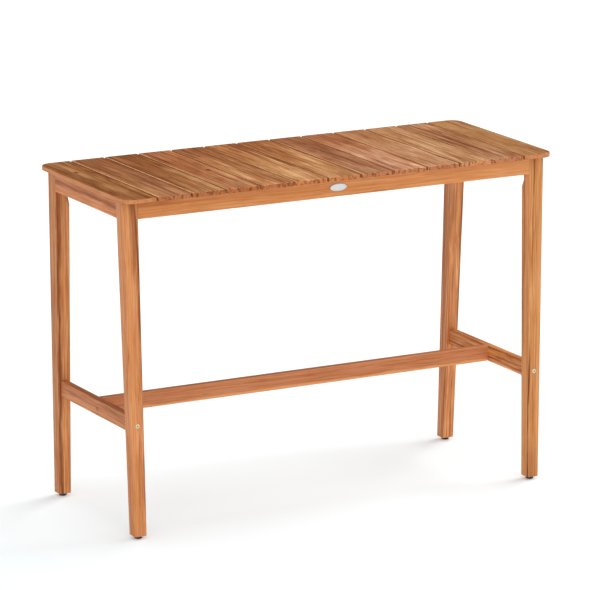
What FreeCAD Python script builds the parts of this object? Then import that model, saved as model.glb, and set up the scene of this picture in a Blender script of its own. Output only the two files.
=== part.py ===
import FreeCAD, Part
import math
import os

# Counter height table: a slatted hardwood top on four leaning, tapered legs tied by an H of stretchers.
# Millimetres, +Z up, +X along the length, and -Y is the front.
# The origin is on the floor under the middle of the top.
# Each piece is drawn in the back right quarter where it can be, and mirrored to the other corners.

# The top: cross slats between two end boards with rounded corners
table_height = 914.0
top_width = 522.0
slat_count = 11
slat_width = 95.0
slat_gap = 5.0
end_board_width = 92.5
board_thick = 12.0
top_corner_radius = 33.0
board_corner_radius = 3.0
board_arris = 2.5
board_lower_arris = 1.0

# The apron frame under the top
end_overhang = 12.0
side_overhang = 35.0
apron_thick = 20.0
apron_height = 50.0
apron_setback = 1.5
apron_arris = 2.0

# The legs: square at both ends, drawn in along the length and splayed across the width
leg_top_side = 44.0
leg_foot_side = 35.0
leg_lean_in = 12.0
leg_splay_out = 25.5
leg_arris = 4.0
leg_foot_chamfer = 1.5
leg_flat_cut = 15.0
leg_flat_below_apron = 20.0
leg_flat_runout = 25.0

# The stretchers: one long and two side pieces of the same section
stretcher_thick = 20.0
stretcher_height = 44.0
stretcher_level = 283.5
stretcher_arris = 2.5

# The battens that the slats are screwed to from below
batten_width = 18.0
batten_depth = 18.0
batten_arris = 1.0
batten_end_clearance = 4.0
centre_batten_width = 40.0

# The corner braces that pull the legs into the apron frame
brace_thick = 20.0
brace_height = 46.0
brace_gap = 0.8

# Wood screws, all of one gauge
screw_shank_radius = 2.0
screw_head_radius = 4.0
screw_head_depth = 2.4
screw_tip_length = 4.0
screw_recess_width = 0.9
screw_recess_reach = 2.2
screw_recess_depth = 1.4
board_screw_sink = 2.0
board_screw_cover = 3.0
board_screw_spread = 30.0
end_board_screw_inset = 20.0
end_board_screw_step = 24.0
batten_screw_count = 5
batten_screw_inset = 46.0
batten_screw_cover = 8.0
brace_screw_cover = 7.0
brace_screw_grip = 12.0
brace_screw_inset = 17.0
brace_screw_margin = 12.0
brace_board_screw_offset = 16.0

# Socket head bolts, washers and threaded inserts that hold the legs
leg_bolt_radius = 3.0
leg_bolt_head_radius = 5.0
leg_bolt_head_height = 6.0
leg_bolt_reach = 22.6
leg_bolt_margin = 11.0
washer_radius = 6.2
washer_thick = 1.6
insert_radius = 5.5
insert_length = 20.0

# Connector bolts and barrel nuts that hold the side stretchers
joint_bolt_radius = 3.0
joint_bolt_head_radius = 5.75
joint_bolt_head_height = 2.6
joint_bolt_head_proud = 0.6
joint_bolt_head_round = 0.5
joint_bolt_tail = 5.0
barrel_nut_radius = 5.0
barrel_nut_length = 16.0
barrel_nut_setback = 24.0
barrel_nut_slot_width = 1.2
barrel_nut_slot_depth = 1.5

# Hexagon sockets in both kinds of bolt, across their corners
leg_bolt_socket = 5.8
leg_bolt_socket_depth = 3.0
joint_bolt_socket = 4.6
joint_bolt_socket_depth = 1.8

# Glued dowels
dowel_radius = 4.0
dowel_length = 30.0
dowel_offset = 13.0
dowel_chamfer = 1.0
end_dowel_depth = 12.0
batten_dowel_offset = 10.0

# Levelling feet: a plastic pad on a threaded stud that turns in an insert in the leg
pad_radius = 10.5
pad_height = 8.0
pad_chamfer = 2.0
pad_top_round = 0.6
stud_radius = 4.0
stud_length = 30.0
stud_pitch = 1.25
stud_thread_depth = 0.6
stud_seat_depth = 5.0
foot_insert_radius = 6.0
foot_insert_length = 20.0
foot_bore_spare = 4.0

# The bare oval plate on the front apron
plate_length = 50.0
plate_height = 20.0
plate_thick = 1.4
plate_rim = 1.6
plate_field_depth = 0.5
plate_edge_round = 0.4

# Clearances round pins, screws and nuts, and the overrun of every cut
fit_clearance = 0.1
bolt_hole_clearance = 0.4
socket_clearance = 0.3
end_clearance = 0.5
overrun = 1.0

# Places worked out from the sizes
slat_pitch = slat_width + slat_gap
slat_field = slat_count * slat_width + (slat_count + 1) * slat_gap
half_length = slat_field / 2 + end_board_width
half_width = top_width / 2
under_top = table_height - board_thick
apron_bottom = under_top - apron_height
leg_drop = under_top - pad_height
end_apron_outer = half_length - end_overhang - apron_setback
end_apron_inner = end_apron_outer - apron_thick
side_apron_outer = half_width - side_overhang - apron_setback
side_apron_inner = side_apron_outer - apron_thick
batten_bottom = under_top - batten_depth
stretcher_top = stretcher_level + stretcher_height
stretcher_middle = stretcher_level + stretcher_height / 2
diagonal = FreeCAD.Vector(1, 1, 0).normalize()
along_brace = FreeCAD.Vector(1, -1, 0).normalize()
up = FreeCAD.Vector(0, 0, 1)


def leg_side(z):
    """Side of the leg's square section at a height."""
    fall = (under_top - z) / leg_drop
    return leg_top_side + (leg_foot_side - leg_top_side) * fall


def leg_middle_x(z):
    """Distance of the leg's centre line from the middle, along the length."""
    fall = (under_top - z) / leg_drop
    return half_length - end_overhang - leg_top_side / 2 - leg_lean_in * fall


def leg_middle_y(z):
    """Distance of the leg's centre line from the middle, across the width."""
    fall = (under_top - z) / leg_drop
    return half_width - side_overhang - leg_top_side / 2 + leg_splay_out * fall


def leg_inner_x(z):
    return leg_middle_x(z) - leg_side(z) / 2


def leg_inner_y(z):
    return leg_middle_y(z) - leg_side(z) / 2


def leg_outer_y(z):
    return leg_middle_y(z) + leg_side(z) / 2


side_stretcher_x = leg_middle_x(stretcher_middle)
side_stretcher_inner = side_stretcher_x - stretcher_thick / 2
leg_flat_sum = leg_inner_x(under_top) + leg_inner_y(under_top) + leg_flat_cut
brace_outer_sum = leg_flat_sum - math.sqrt(2) * brace_gap
brace_inner_sum = brace_outer_sum - math.sqrt(2) * brace_thick
brace_tip_x = brace_inner_sum - side_apron_inner
brace_bottom = under_top - brace_height
brace_bolt_levels = (brace_bottom + leg_bolt_margin, under_top - leg_bolt_margin)
brace_screw_levels = (brace_bottom + brace_screw_margin, under_top - brace_screw_margin)
leg_bolt_axis = FreeCAD.Vector(
    leg_inner_x(under_top) + leg_flat_cut / 2, leg_inner_y(under_top) + leg_flat_cut / 2, 0)
batten_row_y = side_apron_inner - batten_width / 2
batten_half_length = brace_tip_x - batten_end_clearance
board_screw_length = batten_depth - board_screw_sink + board_thick - board_screw_cover
board_screw_seat = batten_bottom + board_screw_sink
batten_screw_length = batten_width + apron_thick - batten_screw_cover
brace_screw_length = brace_screw_grip + apron_thick - brace_screw_cover
leg_bolt_length = washer_thick + brace_thick + brace_gap + leg_bolt_reach
joint_bolt_seat = leg_outer_y(stretcher_middle) - (joint_bolt_head_height - joint_bolt_head_proud)
barrel_nut_y = leg_inner_y(stretcher_middle) - barrel_nut_setback
joint_bolt_end = barrel_nut_y - barrel_nut_radius - joint_bolt_tail
dowel_levels = (stretcher_middle - dowel_offset, stretcher_middle + dowel_offset)
foot_x = leg_middle_x(pad_height)
foot_y = leg_middle_y(pad_height)
stud_bottom = pad_height - stud_seat_depth
stud_top = stud_bottom + stud_length


def at(x, y, z):
    return FreeCAD.Vector(x, y, z)


def mirrored(shape, side_x, side_y):
    """A back right piece moved to the corner that the two signs name."""
    if side_x < 0:
        shape = shape.mirror(at(0, 0, 0), at(1, 0, 0))
    if side_y < 0:
        shape = shape.mirror(at(0, 0, 0), at(0, 1, 0))
    return shape


def prism(points, travel):
    """A solid from a closed outline moved along a vector."""
    return Part.Face(Part.makePolygon(points + points[:1])).extrude(travel)


def rod(start, direction, radius, length):
    return Part.makeCylinder(radius, length, start, direction)


def carved(solid, cuts):
    """The solid with each cut taken out in turn, because cuts may overlap each other."""
    for cut in cuts:
        solid = solid.cut(cut)
    return solid


def turned(profile, base, direction):
    """A solid of revolution from (radius, height) points, stood on a base point along a direction."""
    outline = [at(radius, 0, height) for radius, height in profile]
    solid = Part.Face(Part.makePolygon(outline + outline[:1])).revolve(at(0, 0, 0), up, 360)
    solid.Placement = FreeCAD.Placement(base, FreeCAD.Rotation(up, direction))
    return solid


def rounded_edges(shape, radius, wanted):
    """The shape with the edges that pass a test rounded."""
    edges = [edge for edge in shape.Edges if wanted(edge)]
    return shape.makeFillet(radius, edges)


def is_level(edge, z):
    box = edge.BoundBox
    return abs(box.ZMin - z) < fit_clearance and abs(box.ZMax - z) < fit_clearance


def runs_along(edge, direction):
    """True for a straight edge whose direction is close to the given one."""
    ends = edge.Vertexes
    if len(ends) < 2:
        return False
    line = ends[-1].Point - ends[0].Point
    return line.cross(direction).Length < line.Length / 2 and abs(line.dot(direction)) > leg_arris


def is_lower_arris(edge, low, direction):
    return is_level(edge, low) and runs_along(edge, direction)


def hexagon_socket(mouth, direction, corners, depth):
    """A blunt hexagon hole sunk from a mouth along a direction."""
    points = []
    for corner in range(6):
        angle = math.radians(60 * corner)
        points.append(at(corners / 2 * math.cos(angle), corners / 2 * math.sin(angle), -overrun))
    hole = prism(points, up * (depth + overrun))
    hole.Placement = FreeCAD.Placement(mouth, FreeCAD.Rotation(up, direction))
    return hole


def wood_screw(length):
    """A countersunk screw, its head face at the origin and its tip up the Z axis."""
    body = turned([(0, 0), (screw_head_radius, 0), (screw_shank_radius, screw_head_depth),
                   (screw_shank_radius, length - screw_tip_length), (0, length)], at(0, 0, 0), up)
    for turn in (0, 90):
        slot = Part.makeBox(screw_recess_reach * 2, screw_recess_width, screw_recess_depth + overrun,
                            at(-screw_recess_reach, -screw_recess_width / 2, -overrun))
        slot.rotate(at(0, 0, 0), up, turn)
        body = body.cut(slot)
    return body


def screw_hole(seat, direction, length, mouth):
    """The hole of a countersunk screw, with a counterbore of the mouth's length behind its head."""
    head = screw_head_radius + fit_clearance
    shank = screw_shank_radius + fit_clearance
    return turned([(0, -mouth), (head, -mouth), (head, 0), (shank, screw_head_depth),
                   (shank, length + end_clearance), (0, length + end_clearance)], seat, direction)


def placed(shape, base, direction):
    copy = shape.copy()
    copy.Placement = FreeCAD.Placement(base, FreeCAD.Rotation(up, direction))
    return copy


def dowel(start, direction, length):
    radius = dowel_radius
    return turned([(0, 0), (radius - dowel_chamfer, 0), (radius, dowel_chamfer),
                   (radius, length - dowel_chamfer), (radius - dowel_chamfer, length), (0, length)],
                  start, direction)


def dowel_hole(start, direction, length):
    return rod(start - direction * end_clearance, direction, dowel_radius + fit_clearance,
               length + 2 * end_clearance)


# The boards of the top

def board_outline(x_low, x_high, radius_low, radius_high):
    """Plan outline of a board that runs across the top, with a corner radius for each long side."""
    y = half_width
    bend_low = radius_low * (1 - math.sqrt(0.5))
    bend_high = radius_high * (1 - math.sqrt(0.5))
    z = under_top
    edges = [
        Part.LineSegment(at(x_low + radius_low, -y, z), at(x_high - radius_high, -y, z)),
        Part.Arc(at(x_high - radius_high, -y, z), at(x_high - bend_high, bend_high - y, z),
                 at(x_high, radius_high - y, z)),
        Part.LineSegment(at(x_high, radius_high - y, z), at(x_high, y - radius_high, z)),
        Part.Arc(at(x_high, y - radius_high, z), at(x_high - bend_high, y - bend_high, z),
                 at(x_high - radius_high, y, z)),
        Part.LineSegment(at(x_high - radius_high, y, z), at(x_low + radius_low, y, z)),
        Part.Arc(at(x_low + radius_low, y, z), at(x_low + bend_low, y - bend_low, z),
                 at(x_low, y - radius_low, z)),
        Part.LineSegment(at(x_low, y - radius_low, z), at(x_low, radius_low - y, z)),
        Part.Arc(at(x_low, radius_low - y, z), at(x_low + bend_low, bend_low - y, z),
                 at(x_low + radius_low, -y, z)),
    ]
    return Part.Face(Part.Wire([edge.toShape() for edge in edges]))


def board(x_low, x_high, radius_low, radius_high, screw_places):
    """A top board with rounded arrises and blind pilot holes for its screws."""
    solid = board_outline(x_low, x_high, radius_low, radius_high).extrude(up * board_thick)
    solid = rounded_edges(solid, board_arris, lambda edge: is_level(edge, table_height))
    solid = rounded_edges(solid, board_lower_arris, lambda edge: is_level(edge, under_top))
    return carved(solid, [board_screw_hole(x, y) for x, y in screw_places])


def board_screw_hole(x, y):
    return screw_hole(at(x, y, board_screw_seat), up, board_screw_length, board_screw_sink + overrun)


def slat_middle(number):
    return (number - (slat_count + 1) / 2) * slat_pitch


def slat_screw_places(number):
    middle = slat_middle(number)
    return [(middle + side * board_screw_spread, row)
            for side in (-1, 1) for row in (-batten_row_y, 0, batten_row_y)]


def brace_board_screw_places(side_x, side_y):
    """The two upright screws that hold an end board to a corner brace."""
    middle_sum = (brace_outer_sum + brace_inner_sum) / 2
    centre = leg_bolt_axis + diagonal * ((middle_sum - leg_flat_sum) / math.sqrt(2))
    places = []
    for way in (-1, 1):
        point = centre + along_brace * (way * brace_board_screw_offset)
        places.append((side_x * point.x, side_y * point.y))
    return places


def end_board_batten_screw_places(side_x):
    inner_edge = slat_field / 2
    return [(side_x * (inner_edge + end_board_screw_inset + step * end_board_screw_step), 0)
            for step in (0, 1)]


def end_board_screw_places(side_x):
    places = end_board_batten_screw_places(side_x)
    for side_y in (-1, 1):
        places += brace_board_screw_places(side_x, side_y)
    return places


def slat(number):
    middle = slat_middle(number)
    return board(middle - slat_width / 2, middle + slat_width / 2,
                 board_corner_radius, board_corner_radius, slat_screw_places(number))


def end_board(side_x):
    inner_edge = slat_field / 2
    if side_x > 0:
        return board(inner_edge, half_length, board_corner_radius, top_corner_radius,
                     end_board_screw_places(side_x))
    return board(-half_length, -inner_edge, top_corner_radius, board_corner_radius,
                 end_board_screw_places(side_x))


# The aprons

def batten_screw_xs():
    """Places of a side batten's screws along its length, evenly spaced between its ends."""
    first = batten_screw_inset - batten_half_length
    pitch = -2 * first / (batten_screw_count - 1)
    return [first + number * pitch for number in range(batten_screw_count)]


def batten_screw_hole(x, side_y):
    seat = at(x, side_y * (side_apron_inner - batten_width), batten_bottom + batten_depth / 2)
    return screw_hole(seat, at(0, side_y, 0), batten_screw_length, overrun)


def brace_screw_seats():
    """Seats and directions of the four screws of the back right brace, two into each apron."""
    side_x = brace_tip_x + brace_screw_inset
    side_y = side_apron_inner - brace_screw_grip
    turn_x = end_apron_inner - brace_screw_grip
    turn_y = brace_inner_sum - end_apron_inner + brace_screw_inset
    seats = []
    for level in brace_screw_levels:
        seats.append((at(side_x, side_y, level), at(0, 1, 0)))
        seats.append((at(turn_x, turn_y, level), at(1, 0, 0)))
    return seats


def brace_screw_holes():
    return [screw_hole(seat, way, brace_screw_length, brace_thick) for seat, way in brace_screw_seats()]


def all_corners(shape_of_corner):
    """The back right shapes repeated at the four corners."""
    shapes = []
    for side_x in (-1, 1):
        for side_y in (-1, 1):
            shapes += [mirrored(shape, side_x, side_y) for shape in shape_of_corner]
    return shapes


def side_apron(side_y):
    """The front or back apron, its ends cut to the slope of the legs' inner faces."""
    top, low = under_top, apron_bottom
    y = side_apron_inner
    outline = [at(-leg_inner_x(low), y, low), at(leg_inner_x(low), y, low),
               at(leg_inner_x(top), y, top), at(-leg_inner_x(top), y, top)]
    solid = prism(outline, at(0, apron_thick, 0))
    solid = rounded_edges(solid, apron_arris, lambda edge: is_lower_arris(edge, low, at(1, 0, 0)))
    solid = mirrored(solid, 1, side_y)
    cuts = [batten_screw_hole(x, side_y) for x in batten_screw_xs()]
    return carved(solid, cuts + all_corners(brace_screw_holes()))


def batten_dowel_starts(side_x):
    """Start points of the dowels between an end of the centre batten and an end apron."""
    x = side_x * (end_apron_inner + end_dowel_depth)
    z = batten_bottom + batten_depth / 2
    return [at(x, way * batten_dowel_offset, z) for way in (-1, 1)]


def end_apron(side_x):
    """An end apron, its ends cut to the splay of the legs' inner faces."""
    top, low = under_top, apron_bottom
    x = end_apron_inner
    outline = [at(x, -leg_inner_y(low), low), at(x, leg_inner_y(low), low),
               at(x, leg_inner_y(top), top), at(x, -leg_inner_y(top), top)]
    solid = prism(outline, at(apron_thick, 0, 0))
    solid = rounded_edges(solid, apron_arris, lambda edge: is_lower_arris(edge, low, at(0, 1, 0)))
    solid = mirrored(solid, side_x, 1)
    cuts = [dowel_hole(start, at(-side_x, 0, 0), dowel_length) for start in batten_dowel_starts(side_x)]
    return carved(solid, cuts + all_corners(brace_screw_holes()))


# The battens

def softened(solid, radius, direction):
    return rounded_edges(solid, radius, lambda edge: runs_along(edge, direction))


def side_batten(side_y):
    solid = Part.makeBox(batten_half_length * 2, batten_width, batten_depth,
                         at(-batten_half_length, side_apron_inner - batten_width, batten_bottom))
    solid = mirrored(softened(solid, batten_arris, at(1, 0, 0)), 1, side_y)
    cuts = [batten_screw_hole(x, side_y) for x in batten_screw_xs()]
    for number in range(1, slat_count + 1):
        cuts += [board_screw_hole(x, y) for x, y in slat_screw_places(number) if y * side_y > 0]
    return carved(solid, cuts)


def centre_batten():
    solid = Part.makeBox(end_apron_inner * 2, centre_batten_width, batten_depth,
                         at(-end_apron_inner, -centre_batten_width / 2, batten_bottom))
    solid = softened(solid, batten_arris, at(1, 0, 0))
    cuts = []
    for number in range(1, slat_count + 1):
        cuts += [board_screw_hole(x, y) for x, y in slat_screw_places(number) if y == 0]
    for side_x in (-1, 1):
        cuts += [board_screw_hole(x, y) for x, y in end_board_batten_screw_places(side_x)]
        inward = at(-side_x, 0, 0)
        cuts += [dowel_hole(start, inward, dowel_length) for start in batten_dowel_starts(side_x)]
    return carved(solid, cuts)


# The corner braces and what goes through them

def on_bolt_axis(distance_sum, level):
    """A point on a leg bolt's axis where x + y has the given value."""
    return leg_bolt_axis + diagonal * ((distance_sum - leg_flat_sum) / math.sqrt(2)) + up * level


def leg_bolt_hole(level, radius):
    """The bolt's hole from inside the brace to past its end in the leg."""
    start = on_bolt_axis(brace_inner_sum, level) - diagonal * overrun
    return rod(start, diagonal, radius, leg_bolt_length - washer_thick + overrun + end_clearance)


def corner_brace():
    """A block with mitred ends that bears on both aprons across a corner."""
    x, y, z = end_apron_inner, side_apron_inner, brace_bottom
    outline = [at(brace_outer_sum - y, y, z), at(x, brace_outer_sum - x, z),
               at(x, brace_inner_sum - x, z), at(brace_inner_sum - y, y, z)]
    solid = prism(outline, up * brace_height)
    cuts = brace_screw_holes()
    cuts += [leg_bolt_hole(level, leg_bolt_radius + bolt_hole_clearance) for level in brace_bolt_levels]
    for place_x, place_y in brace_board_screw_places(1, 1):
        seat = at(place_x, place_y, board_screw_seat)
        cuts.append(screw_hole(seat, up, board_screw_length, brace_height))
    return carved(solid, cuts)


def leg_bolt(level):
    """A socket head bolt that draws the leg against the aprons."""
    head = on_bolt_axis(brace_inner_sum, level) - diagonal * (washer_thick + leg_bolt_head_height)
    total = leg_bolt_head_height + leg_bolt_length
    body = turned([(0, 0), (leg_bolt_head_radius, 0), (leg_bolt_head_radius, leg_bolt_head_height),
                   (leg_bolt_radius, leg_bolt_head_height), (leg_bolt_radius, total), (0, total)],
                  head, diagonal)
    return body.cut(hexagon_socket(head, diagonal, leg_bolt_socket, leg_bolt_socket_depth))


def leg_bolt_washer(level):
    start = on_bolt_axis(brace_inner_sum, level) - diagonal * washer_thick
    ring = rod(start, diagonal, washer_radius, washer_thick)
    bore_radius = leg_bolt_radius + fit_clearance
    return ring.cut(rod(start - diagonal * overrun, diagonal, bore_radius, washer_thick + 2 * overrun))


def leg_insert(level):
    """A threaded insert sunk in the leg's flat."""
    start = on_bolt_axis(leg_flat_sum, level) + diagonal * end_clearance
    ring = rod(start, diagonal, insert_radius, insert_length)
    bore_radius = leg_bolt_radius + fit_clearance
    return ring.cut(rod(start - diagonal * overrun, diagonal, bore_radius, insert_length + 2 * overrun))


# The legs

def leg_section(z):
    x_low, y_low, side = leg_inner_x(z), leg_inner_y(z), leg_side(z)
    points = [at(x_low, y_low, z), at(x_low + side, y_low, z),
              at(x_low + side, y_low + side, z), at(x_low, y_low + side, z)]
    return Part.makePolygon(points + points[:1])


def leg_flat_cutter():
    """The flat for the brace on the leg's inner corner, and its sloping runout below the aprons."""
    half_cut = leg_top_side
    flat_end = apron_bottom - leg_flat_below_apron
    runout_level = flat_end - leg_flat_runout
    corner_sum = leg_inner_x(runout_level) + leg_inner_y(runout_level)
    flat = leg_flat_sum / math.sqrt(2)
    far = flat - leg_top_side
    side = along_brace * half_cut
    middle = along_brace * (leg_bolt_axis.dot(along_brace))
    profile = [(far, under_top + overrun), (flat, under_top + overrun), (flat, flat_end),
               (corner_sum / math.sqrt(2), runout_level), (far, runout_level)]
    points = [middle - side + diagonal * reach + up * level for reach, level in profile]
    return prism(points, side * 2)


def joint_bolt_hole():
    """The connector bolt's hole, with a counterbore for its head."""
    shank = joint_bolt_radius + bolt_hole_clearance
    head = joint_bolt_head_radius + socket_clearance
    length = joint_bolt_seat - joint_bolt_end + end_clearance
    seat = at(side_stretcher_x, joint_bolt_seat, stretcher_middle)
    return turned([(0, -leg_foot_side), (head, -leg_foot_side), (head, 0), (shank, 0),
                   (shank, length), (0, length)], seat, at(0, -1, 0))


def side_dowel_starts():
    """Start points in the leg of the dowels that it shares with a side stretcher."""
    return [at(side_stretcher_x, leg_inner_y(level) + dowel_length / 2, level) for level in dowel_levels]


def foot_bore():
    """The bore for the foot's insert and for the stud above it."""
    insert = foot_insert_radius + fit_clearance
    stud = stud_radius + bolt_hole_clearance
    shoulder = foot_insert_length + end_clearance
    top = stud_top - pad_height + foot_bore_spare
    return turned([(0, -overrun), (insert, -overrun), (insert, shoulder), (stud, shoulder),
                   (stud, top), (0, top)], at(foot_x, foot_y, pad_height), up)


def leg():
    solid = Part.makeLoft([leg_section(pad_height), leg_section(under_top)], True, True)
    solid = rounded_edges(solid, leg_arris, lambda edge: runs_along(edge, up))
    foot_edges = [edge for edge in solid.Edges if is_level(edge, pad_height)]
    solid = solid.makeChamfer(leg_foot_chamfer, foot_edges)
    cuts = [leg_flat_cutter(), joint_bolt_hole(), foot_bore()]
    for level in brace_bolt_levels:
        cuts.append(leg_bolt_hole(level, leg_bolt_radius + bolt_hole_clearance))
        cuts.append(rod(on_bolt_axis(leg_flat_sum, level) - diagonal * overrun, diagonal,
                        insert_radius + fit_clearance, insert_length + overrun + 2 * end_clearance))
    cuts += [dowel_hole(start, at(0, -1, 0), dowel_length) for start in side_dowel_starts()]
    return carved(solid, cuts)


# The stretchers

def barrel_nut_hole():
    """The nut's hole, drilled up from the stretcher's underside."""
    length = stretcher_height / 2 + barrel_nut_length / 2 + end_clearance
    return rod(at(side_stretcher_x, barrel_nut_y, stretcher_level - overrun), up,
               barrel_nut_radius + fit_clearance, length + overrun)


def long_dowel_starts(side_x):
    """Start points in a side stretcher of the dowels that hold the long stretcher."""
    return [at(side_x * (side_stretcher_inner + end_dowel_depth), 0, level) for level in dowel_levels]


def side_stretcher(side_x):
    """A side stretcher, its ends cut to the splay of the legs."""
    low, top = stretcher_level, stretcher_top
    x = side_stretcher_inner
    outline = [at(x, -leg_inner_y(low), low), at(x, leg_inner_y(low), low),
               at(x, leg_inner_y(top), top), at(x, -leg_inner_y(top), top)]
    solid = prism(outline, at(stretcher_thick, 0, 0))
    solid = softened(solid, stretcher_arris, at(0, 1, 0))
    end_cuts = [joint_bolt_hole(), barrel_nut_hole()]
    end_cuts += [dowel_hole(start, at(0, -1, 0), dowel_length) for start in side_dowel_starts()]
    cuts = end_cuts + [mirrored(cut, 1, -1) for cut in end_cuts]
    cuts += [dowel_hole(start, at(-1, 0, 0), dowel_length) for start in long_dowel_starts(1)]
    return mirrored(carved(solid, cuts), side_x, 1)


def long_stretcher():
    solid = Part.makeBox(side_stretcher_inner * 2, stretcher_thick, stretcher_height,
                         at(-side_stretcher_inner, -stretcher_thick / 2, stretcher_level))
    solid = softened(solid, stretcher_arris, at(1, 0, 0))
    cuts = []
    for side_x in (-1, 1):
        cuts += [dowel_hole(start, at(-side_x, 0, 0), dowel_length) for start in long_dowel_starts(side_x)]
    return carved(solid, cuts)


def joint_bolt():
    """A flat round connector bolt, its head just proud of the leg's outer face."""
    head = joint_bolt_head_radius
    edge = joint_bolt_head_round
    height = joint_bolt_head_height
    total = height + joint_bolt_seat - joint_bolt_end
    face = at(side_stretcher_x, joint_bolt_seat + height, stretcher_middle)
    body = turned([(0, 0), (head - edge, 0), (head, edge), (head, height), (joint_bolt_radius, height),
                   (joint_bolt_radius, total), (0, total)], face, at(0, -1, 0))
    return body.cut(hexagon_socket(face, at(0, -1, 0), joint_bolt_socket, joint_bolt_socket_depth))


def barrel_nut():
    bottom = stretcher_middle - barrel_nut_length / 2
    body = rod(at(side_stretcher_x, barrel_nut_y, bottom), up, barrel_nut_radius, barrel_nut_length)
    reach = barrel_nut_radius + overrun
    bore = rod(at(side_stretcher_x, barrel_nut_y - reach, stretcher_middle), at(0, 1, 0),
               joint_bolt_radius + fit_clearance, 2 * reach)
    slot_start = at(side_stretcher_x - reach, barrel_nut_y - barrel_nut_slot_width / 2, bottom - overrun)
    slot = Part.makeBox(2 * reach, barrel_nut_slot_width, barrel_nut_slot_depth + overrun, slot_start)
    return carved(body, [bore, slot])


# The feet

def foot_insert():
    start = at(foot_x, foot_y, pad_height)
    ring = rod(start, up, foot_insert_radius, foot_insert_length)
    bore = rod(start - up * overrun, up, stud_radius + fit_clearance, foot_insert_length + 2 * overrun)
    return ring.cut(bore)


def foot_pad():
    """A round plastic pad with a bevelled lower edge and a seat for its stud."""
    solid = turned([(0, 0), (pad_radius - pad_chamfer, 0), (pad_radius, pad_chamfer),
                    (pad_radius, pad_height - pad_top_round), (pad_radius - pad_top_round, pad_height),
                    (0, pad_height)], at(foot_x, foot_y, 0), up)
    return solid.cut(rod(at(foot_x, foot_y, stud_bottom), up, stud_radius + fit_clearance,
                         stud_seat_depth + overrun))


def foot_stud():
    """A threaded stud: its thread is drawn as rings of the right pitch."""
    minor = stud_radius - stud_thread_depth
    plain = stud_seat_depth
    turns = int((stud_length - plain - stud_pitch) / stud_pitch)
    profile = [(0, 0), (stud_radius, 0), (stud_radius, plain)]
    for turn in range(turns):
        root = plain + (turn + 0.5) * stud_pitch
        profile += [(minor, root), (stud_radius, root + stud_pitch / 2)]
    profile += [(minor, stud_length), (0, stud_length)]
    return turned(profile, at(foot_x, foot_y, stud_bottom), up)


# The oval plate

def oval(length, height, y):
    ellipse = Part.Ellipse(at(0, 0, 0), length / 2, height / 2)
    face = Part.Face(Part.Wire([ellipse.toShape()]))
    face.rotate(at(0, 0, 0), at(1, 0, 0), 90)
    face.translate(at(0, y, apron_bottom + apron_height / 2))
    return face


def is_front_rim(edge, front):
    box = edge.BoundBox
    return abs(box.YMin - front) < fit_clearance and box.XLength > plate_height


def oval_plate():
    """A bare metal plate with a raised rim on the middle of the front apron."""
    solid = oval(plate_length, plate_height, -side_apron_outer).extrude(at(0, -plate_thick, 0))
    front = -side_apron_outer - plate_thick
    solid = rounded_edges(solid, plate_edge_round, lambda edge: is_front_rim(edge, front))
    field = oval(plate_length - 2 * plate_rim, plate_height - 2 * plate_rim, front + plate_field_depth)
    return solid.cut(field.extrude(at(0, -plate_field_depth - overrun, 0)))


# Groups of like fasteners

def board_screws():
    screw = wood_screw(board_screw_length)
    places = []
    for number in range(1, slat_count + 1):
        places += slat_screw_places(number)
    for side_x in (-1, 1):
        places += end_board_screw_places(side_x)
    return [placed(screw, at(x, y, board_screw_seat), up) for x, y in places]


def batten_screws():
    screw = wood_screw(batten_screw_length)
    level = batten_bottom + batten_depth / 2
    screws = []
    for side_y in (-1, 1):
        y = side_y * (side_apron_inner - batten_width)
        screws += [placed(screw, at(x, y, level), at(0, side_y, 0)) for x in batten_screw_xs()]
    return screws


def brace_screws():
    screw = wood_screw(brace_screw_length)
    return all_corners([placed(screw, seat, way) for seat, way in brace_screw_seats()])


def save(name, shapes):
    """Write one node: a single solid, or a group of like solids."""
    solids = []
    for shape in shapes:
        solids += shape.Solids
    node = solids[0] if len(solids) == 1 else Part.makeCompound(solids)
    node.exportStep("parts/" + name + ".step")
    print(name, len(solids), "solids", "valid" if node.isValid() else "NOT VALID")


def corner_name(side_x, side_y):
    return ("front" if side_y < 0 else "back") + "_" + ("left" if side_x < 0 else "right")


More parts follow.
